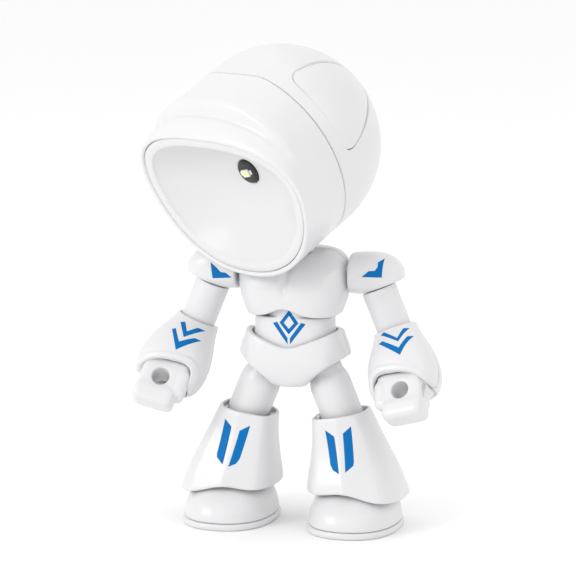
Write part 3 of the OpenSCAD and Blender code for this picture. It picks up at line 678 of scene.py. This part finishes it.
def forearm(x, y, z):
    f = column(x, y, z, FOREARM)
    inner = f + FOREARM_WALL
    wide, tall = np.abs(x / 9.2) ** ARCH_POWER, np.abs((z + 0.3 * x + 27) / 7.9) ** ARCH_POWER
    arch = ((wide + tall + 1e-9) ** (1 / ARCH_POWER) - 1) * 8.5
    f = f - 0.4 * soft((2.6 - arch) / 0.8) * soft((4 - y) / 4)  # a raised lip round the arch
    f = meet(meet(f, z - FOREARM_HIGH - 0.5 * np.minimum(y, 0), 0.9), FOREARM_LOW - z, 0.9)
    f = cut(f, meet(arch, y - 5.6, 0.4), 0.7)
    swing = np.hypot(y, z - WRIST_Z) - np.where(y < 0, 8.5, 6.25)
    mouth = box_field(x, y, z, (-8.9, -12, -40), (8.9, 5.6, -19), 0.6)
    space = join(meet(swing, np.abs(x) - 8.6, 0.1), mouth, 0.3)
    f = cut(f, meet(space, inner, 0.2), 0.3)
    # elbow socket, swept as far as the arm bends
    lean = np.clip(np.arctan2(-y, z), math.radians(8), math.radians(48))
    along = np.maximum(-y * np.sin(lean) + z * np.cos(lean), 0)
    away = np.sqrt(x * x + (y + along * np.sin(lean)) ** 2 + (z - along * np.cos(lean)) ** 2)
    return cut(f, away - ELBOW_BALL, 0.8)


def hand(x, y, z):
    wrist = meet(np.hypot(y, z) - 5.8, np.abs(x) - 8.2, 0.8)
    hole = meet(np.hypot(x, z + 4.6) - 3, 0.01 * y - 1, 0.1)
    x, z = leaning(x, z, -PALM_TURN)
    palm = box_field(x, y, z, (-7.9, -7.7, -9.6), (7.9, 3, 3), 2.4)
    knuckles = box_field(x, y, z, (-6.1, -8.7, -14.5), (8.3, 0.8, -7.6), 2.6)
    thumb = np.sqrt((x + 6.5) ** 2 + (y + 5.4) ** 2 + (z - np.clip(z, -7.4, -2)) ** 2) - 2.6
    f = join(join(join(palm, wrist, 1.5), knuckles, 0.9), thumb, 0.5)
    notch = np.sqrt(((z + 4.6) / 2.5) ** 2 + ((y + 4.2) / 1.1) ** 2 + ((x - 7.9) / 1.5) ** 2) - 1
    return cut(cut(f, hole, 0.7), notch, 0.2)


# ---- legs ----

BOOT = [(-30, 17.6, 19.9, 16.7, 2.6), (-23.6, 16.5, 18.3, 15.6, 2.6), (-19.4, 15.7, 17.1, 14.7, 2.6),
        (-12, 13.5, 14, 12.6, 2.6), (-4, 11.3, 11.6, 10.9, 2.6, -0.2), (3, 9.9, 10.6, 10.3, 2.5, -0.7)]
FOOT = [(2.4, 15.6, 21.1, 19.7, 2.3), (5, 15.2, 20.8, 19.4, 2.3), (9, 14.2, 18.4, 17.5, 2.3),
        (12, 12.4, 14.6, 15.3, 2.2), (14, 10.6, 11, 13, 2.1)]
SOLE = [(0, 15.6, 21.1, 19.7, 2.3), (0.8, 16, 21.5, 20.1, 2.3), (1.8, 16, 21.5, 20.1, 2.3),
        (2.4, 15.75, 21.25, 19.85, 2.3)]
THIGH_R = 7.15
KNEE_Z = -20


def thigh(x, y, z):
    across = np.hypot(x, y)
    ball = np.hypot(across, z - np.clip(z, -3, 0)) - 6.05
    chamfered = meet(across - THIGH_R, 0.9 * (across - THIGH_R) + 0.44 * (z + 5), 1.2)
    f = join(ball, meet(chamfered, z + 2.8, 0.3), 0.2)
    knee = np.sqrt(x * x + y * y + (z - KNEE_Z) ** 2) - THIGH_R
    f = np.where(z < KNEE_Z, knee, f)
    f = cut(f, np.sqrt(x * x + y * y + z * z) - 3.6, 0.2)
    u, w = leaning(x, z, -LEG_SPLAY)
    return cut(f, box_field(u, y, w, (-14, -2.4, -3.1), (0, 2.4, 3.1), 0.3), 0.3)


def boot(x, y, z):
    """Two flat faces meet in a soft ridge down the front."""
    ax = np.abs(x)
    f = column(x, y, z, BOOT)
    front = curve(z, [row[0] for row in BOOT], [row[2] for row in BOOT])
    f = meet(f, 0.22 * ax - 0.975 * y - 0.975 * (front - 0.25), 0.5)
    inner = f + 1.15 + 0.45 * soft(-z / 6)
    inner = cut(inner, meet(np.hypot(y, z) - 2.4, 8.2 - ax, 0.2), 0.3)
    inner = cut(inner, box_field(x, y, z, (-20, -4, -17), (20, 4, -14.6), 0.2), 0.3)
    inner = cut(inner, box_field(ax, y, z, (4.6, -2.4, -28.4), (6.6, 2.4, -15), 0.3), 0.3)
    hem = -24.9 - 0.25 * x + np.where(y < 0, 2.0, 1.0) * np.exp(-(x / 7) ** 2)
    f = meet(meet(f, (hem - z) * 0.93, 0.9), z - 2.6, 0.9)
    return cut(f, inner, 0.5)


def foot(x, y, z):
    f = column(x, y, z, FOOT)
    inner = meet(f + 1.7, z - 12.2, 0.5)
    f = cut(ends(f, z, 2.45, 14, 0.6), meet(inner, 4.6 - z, 0.3), 0.4)
    front_ear = box_field(x, y, z, (-2.4, -4.6, 3), (2.4, -2.6, 12), 0.5)
    rear_ear = box_field(x, y, z, (-2.4, 6.6, 3), (2.4, 8.6, 12), 0.5)
    return join(f, np.minimum(front_ear, rear_ear), 0.4)


def sole(x, y, z):
    return ends(column(x, y, z, SOLE), z, 0, 2.35, 0.45)


# ---- both sides: arms and legs ----

decorated = {}  # the pieces that carry decals
for side in ("left", "right"):
    at = side_places(side)

    def limb(piece, field, low, high, body, node):
        return skin(f"{side}_{piece}_skin", field, low, high, at[body], f"{side}_{body}", [f"{side}_{node}"])

    cap_skin = limb("cap", shoulder, (18.8, -8.2, -8), (38.6, 8.2, 9.2), "shoulder", "shoulder_cap")
    dressed(lathe(side + "_upper_arm_skin", UPPER_ARM, at["upper_arm"]), white,
            side + "_upper_arm", [side + "_upper_arm"])
    forearm_front, _ = halves(side + "_forearm", forearm, (-13.5, -12.5, -25), (13.5, 12, 3.4), (-0.5, 1),
                              0.4, 0.06, 0.3, at["forearm"], side + "_forearm", proud=0.12)
    halves(side + "_thigh", thigh, (-8, -8, -28), (8, 8, 7), (-0.5, 0.5),
           0, 0.07, 0.3, at["thigh"], side + "_thigh")
    limb("hand", hand, (-13, -10.5, -18), (10, 7, 6.8), "hand", "hand")
    boot_skin = limb("boot", boot, (-19, -21, -30.5), (19, 18, 4), "boot", "boot")
    limb("foot", foot, (-17, -22.5, 2), (17, 21, 15), "foot", "foot_upper")
    limb("sole", sole, (-17, -22.5, -0.5), (17, 21, 3.6), "foot", "foot_sole")
    decorated[side] = {"shoulder": cap_skin, "forearm": forearm_front, "boot": boot_skin}

# ---- decals: thin printed shapes laid on the front of a piece ----

DECAL_GRID = 0.7 * MM
DECAL_LIFT = 0.035 * MM  # above the skin
DECAL_THICKNESS = 0.05 * MM
IN_FRONT, ONTO_SKIN = 0.04, 0.03


def decal(name, outline, place, on, body):
    """outline is (x, z) in mm in the piece's own place; it is laid on the piece from the front."""
    work = bmesh.new()
    work.faces.new([work.verts.new((x * MM, 0, z * MM)) for x, z in outline])
    for axis in (0, 2):
        values = [v.co[axis] for v in work.verts]
        at = min(values) + DECAL_GRID
        while at < max(values):
            normal, point = [0, 0, 0], [0, 0, 0]
            normal[axis], point[axis] = 1, at
            everything = work.verts[:] + work.edges[:] + work.faces[:]
            bmesh.ops.bisect_plane(work, geom=everything, plane_co=point, plane_no=normal)
            at += DECAL_GRID
    bmesh.ops.triangulate(work, faces=work.faces[:])
    tree = BVHTree.FromPolygons([v.co[:] for v in on.data.vertices],
                                [p.vertices[:] for p in on.data.polygons])
    way = (place.to_3x3() @ Vector((0, 1, 0))).normalized()
    for v in work.verts:
        start = place @ Vector((v.co.x, -IN_FRONT, v.co.z))
        hit, normal, _, _ = tree.ray_cast(start, way)
        if hit is None:
            hit, normal, _, _ = tree.find_nearest(start + way * ONTO_SKIN)
        if normal.dot(way) > 0:
            normal = -normal
        v.co = hit + normal * DECAL_LIFT
    bmesh.ops.recalc_face_normals(work, faces=work.faces[:])
    if sum(f.normal.dot(way) * f.calc_area() for f in work.faces) > 0:
        bmesh.ops.reverse_faces(work, faces=work.faces[:])
    mesh = bpy.data.meshes.new(name)
    work.to_mesh(mesh)
    work.free()
    made = bpy.data.objects.new(name, mesh)
    bpy.context.scene.collection.objects.link(made)
    thick = made.modifiers.new("thick", "SOLIDIFY")
    thick.thickness = DECAL_THICKNESS
    thick.offset = -1
    mesh.shade_smooth()
    return dressed(made, decal_blue, body)


# what is printed on each side's pieces: decal, piece, outline
STRIPES = [
    ("boot_stripe_outer", "boot", [(4.8, -1.0), (1.8, -3.0), (1.5, -15.6), (4.3, -13.9), (4.6, -12.7)]),
    ("boot_stripe_inner", "boot", [(-4.4, -1.2), (-1.3, -3.6), (-0.7, -15.8), (-2.9, -14.4), (-3.7, -12.6)]),
]
PRINTED = {
    "left": STRIPES + [
        ("chevron_upper", "forearm", [(-2.9, -3.2), (-1.5, -2.6), (3.1, -7.1), (5.0, -2.9), (6.7, -2.8),
                                      (3.4, -8.8)]),
        ("chevron_lower", "forearm", [(-3.8, -6.8), (-2.3, -6.3), (3.4, -11.5), (6.3, -6.9), (8.0, -6.8),
                                      (3.5, -14.5)]),
        ("shoulder_mark", "shoulder", [(32.3, 6.4), (30.4, 5.3), (30.5, 3.9), (29.7, 2.6), (27.6, 2.4),
                                       (25.1, 0.3), (32.1, 0.4)]),
    ],
    "right": STRIPES + [
        ("chevron_upper", "forearm", [(3.2, -4.9), (1.7, -4.1), (-0.7, -7.4), (-3.1, -4.0), (-5.6, -3.3),
                                      (-0.9, -10.0)]),
        ("chevron_lower", "forearm", [(4.3, -8.8), (3.3, -8.0), (-0.3, -12.3), (-4.2, -8.2), (-6.4, -7.7),
                                      (-0.8, -15.5)]),
        ("shoulder_mark", "shoulder", [(28.1, 3.0), (27.4, -2.5), (20.7, -2.0), (22.7, -0.4), (24.5, -0.2),
                                       (25.9, 1.3)]),
    ],
}
EMBLEM = {
    "emblem_lozenge_right": [(0.6, 75.3), (3.9, 70.9), (0.6, 67), (0.6, 68.9), (2.4, 70.9), (0.6, 73.3)],
    "emblem_lozenge_left": [(0.6, 75.3), (-2.7, 70.9), (0.6, 67), (0.6, 68.9), (-1.2, 70.9), (0.6, 73.3)],
    "emblem_bar_left": [(-5.1, 70.6), (-3.6, 71.1), (0.2, 65.7), (0.2, 63.6)],
    "emblem_bar_right": [(6.3, 70.6), (4.8, 71.1), (1, 65.7), (1, 63.6)],
}
for side, printed in PRINTED.items():
    places = side_places(side)
    for name, piece, outline in printed:
        decal(f"{side}_{name}", outline, places[piece], decorated[side][piece], f"{side}_{piece}")
for name, outline in EMBLEM.items():
    decal(name, outline, body_place, abdomen_skin, "pelvis")

# ---- floor, light and camera, in metres ----

FLOOR_HALF = 4
LIT_POINT = Vector((0, 0, 0.09))
AZIMUTH, ELEVATION = math.radians(16), math.radians(9.5)
AIM_HEIGHT, CAMERA_DISTANCE = 0.084, 0.9
CAMERA_LEFT, CAMERA_DOWN = 0.00256, 0.00273
LENS, SENSOR = 164.8, 36

floor_mesh = bpy.data.meshes.new("floor")
floor_corners = [(x * FLOOR_HALF, y * FLOOR_HALF, 0) for x, y in ((-1, -1), (1, -1), (1, 1), (-1, 1))]
floor_mesh.from_pydata(floor_corners, [], [(0, 1, 2, 3)])
floor = bpy.data.objects.new("floor", floor_mesh)
floor_mesh.materials.append(floor_white)
bpy.context.scene.collection.objects.link(floor)

world = bpy.data.worlds.new("studio")
world.use_nodes = True
world.node_tree.nodes["Background"].inputs["Color"].default_value = (1, 1, 1, 1)
world.node_tree.nodes["Background"].inputs["Strength"].default_value = 1.0
bpy.context.scene.world = world


def light(name, where, size, power):
    lamp = bpy.data.lights.new(name, "AREA")
    lamp.shape = "DISK"
    lamp.size = size
    lamp.energy = power
    made = bpy.data.objects.new(name, lamp)
    made.location = where
    made.rotation_euler = (LIT_POINT - Vector(where)).to_track_quat("-Z", "Y").to_euler()
    bpy.context.scene.collection.objects.link(made)


light("key", (-0.75, -0.8, 0.6), 0.6, 4.0)
light("top", (0.1, 0, 1.2), 0.8, 0.7)
light("fill", (0.9, -0.3, 0.9), 0.8, 1.0)

right = Vector((math.cos(AZIMUTH), math.sin(AZIMUTH), 0))
level = Vector((math.sin(AZIMUTH), -math.cos(AZIMUTH), 0))
toward = level * math.cos(ELEVATION) + Vector((0, 0, math.sin(ELEVATION)))
up = right.cross(-toward)
aim = Vector((middle[0], middle[1], AIM_HEIGHT))
camera = bpy.data.objects.new("camera", bpy.data.cameras.new("camera"))
camera.data.lens = LENS
camera.data.sensor_width = SENSOR
camera.location = aim + toward * CAMERA_DISTANCE - right * CAMERA_LEFT - up * CAMERA_DOWN
camera.rotation_euler = (-toward).to_track_quat("-Z", "Y").to_euler()
bpy.context.scene.collection.objects.link(camera)
bpy.context.scene.camera = camera
bpy.context.scene.view_settings.view_transform = "Standard"
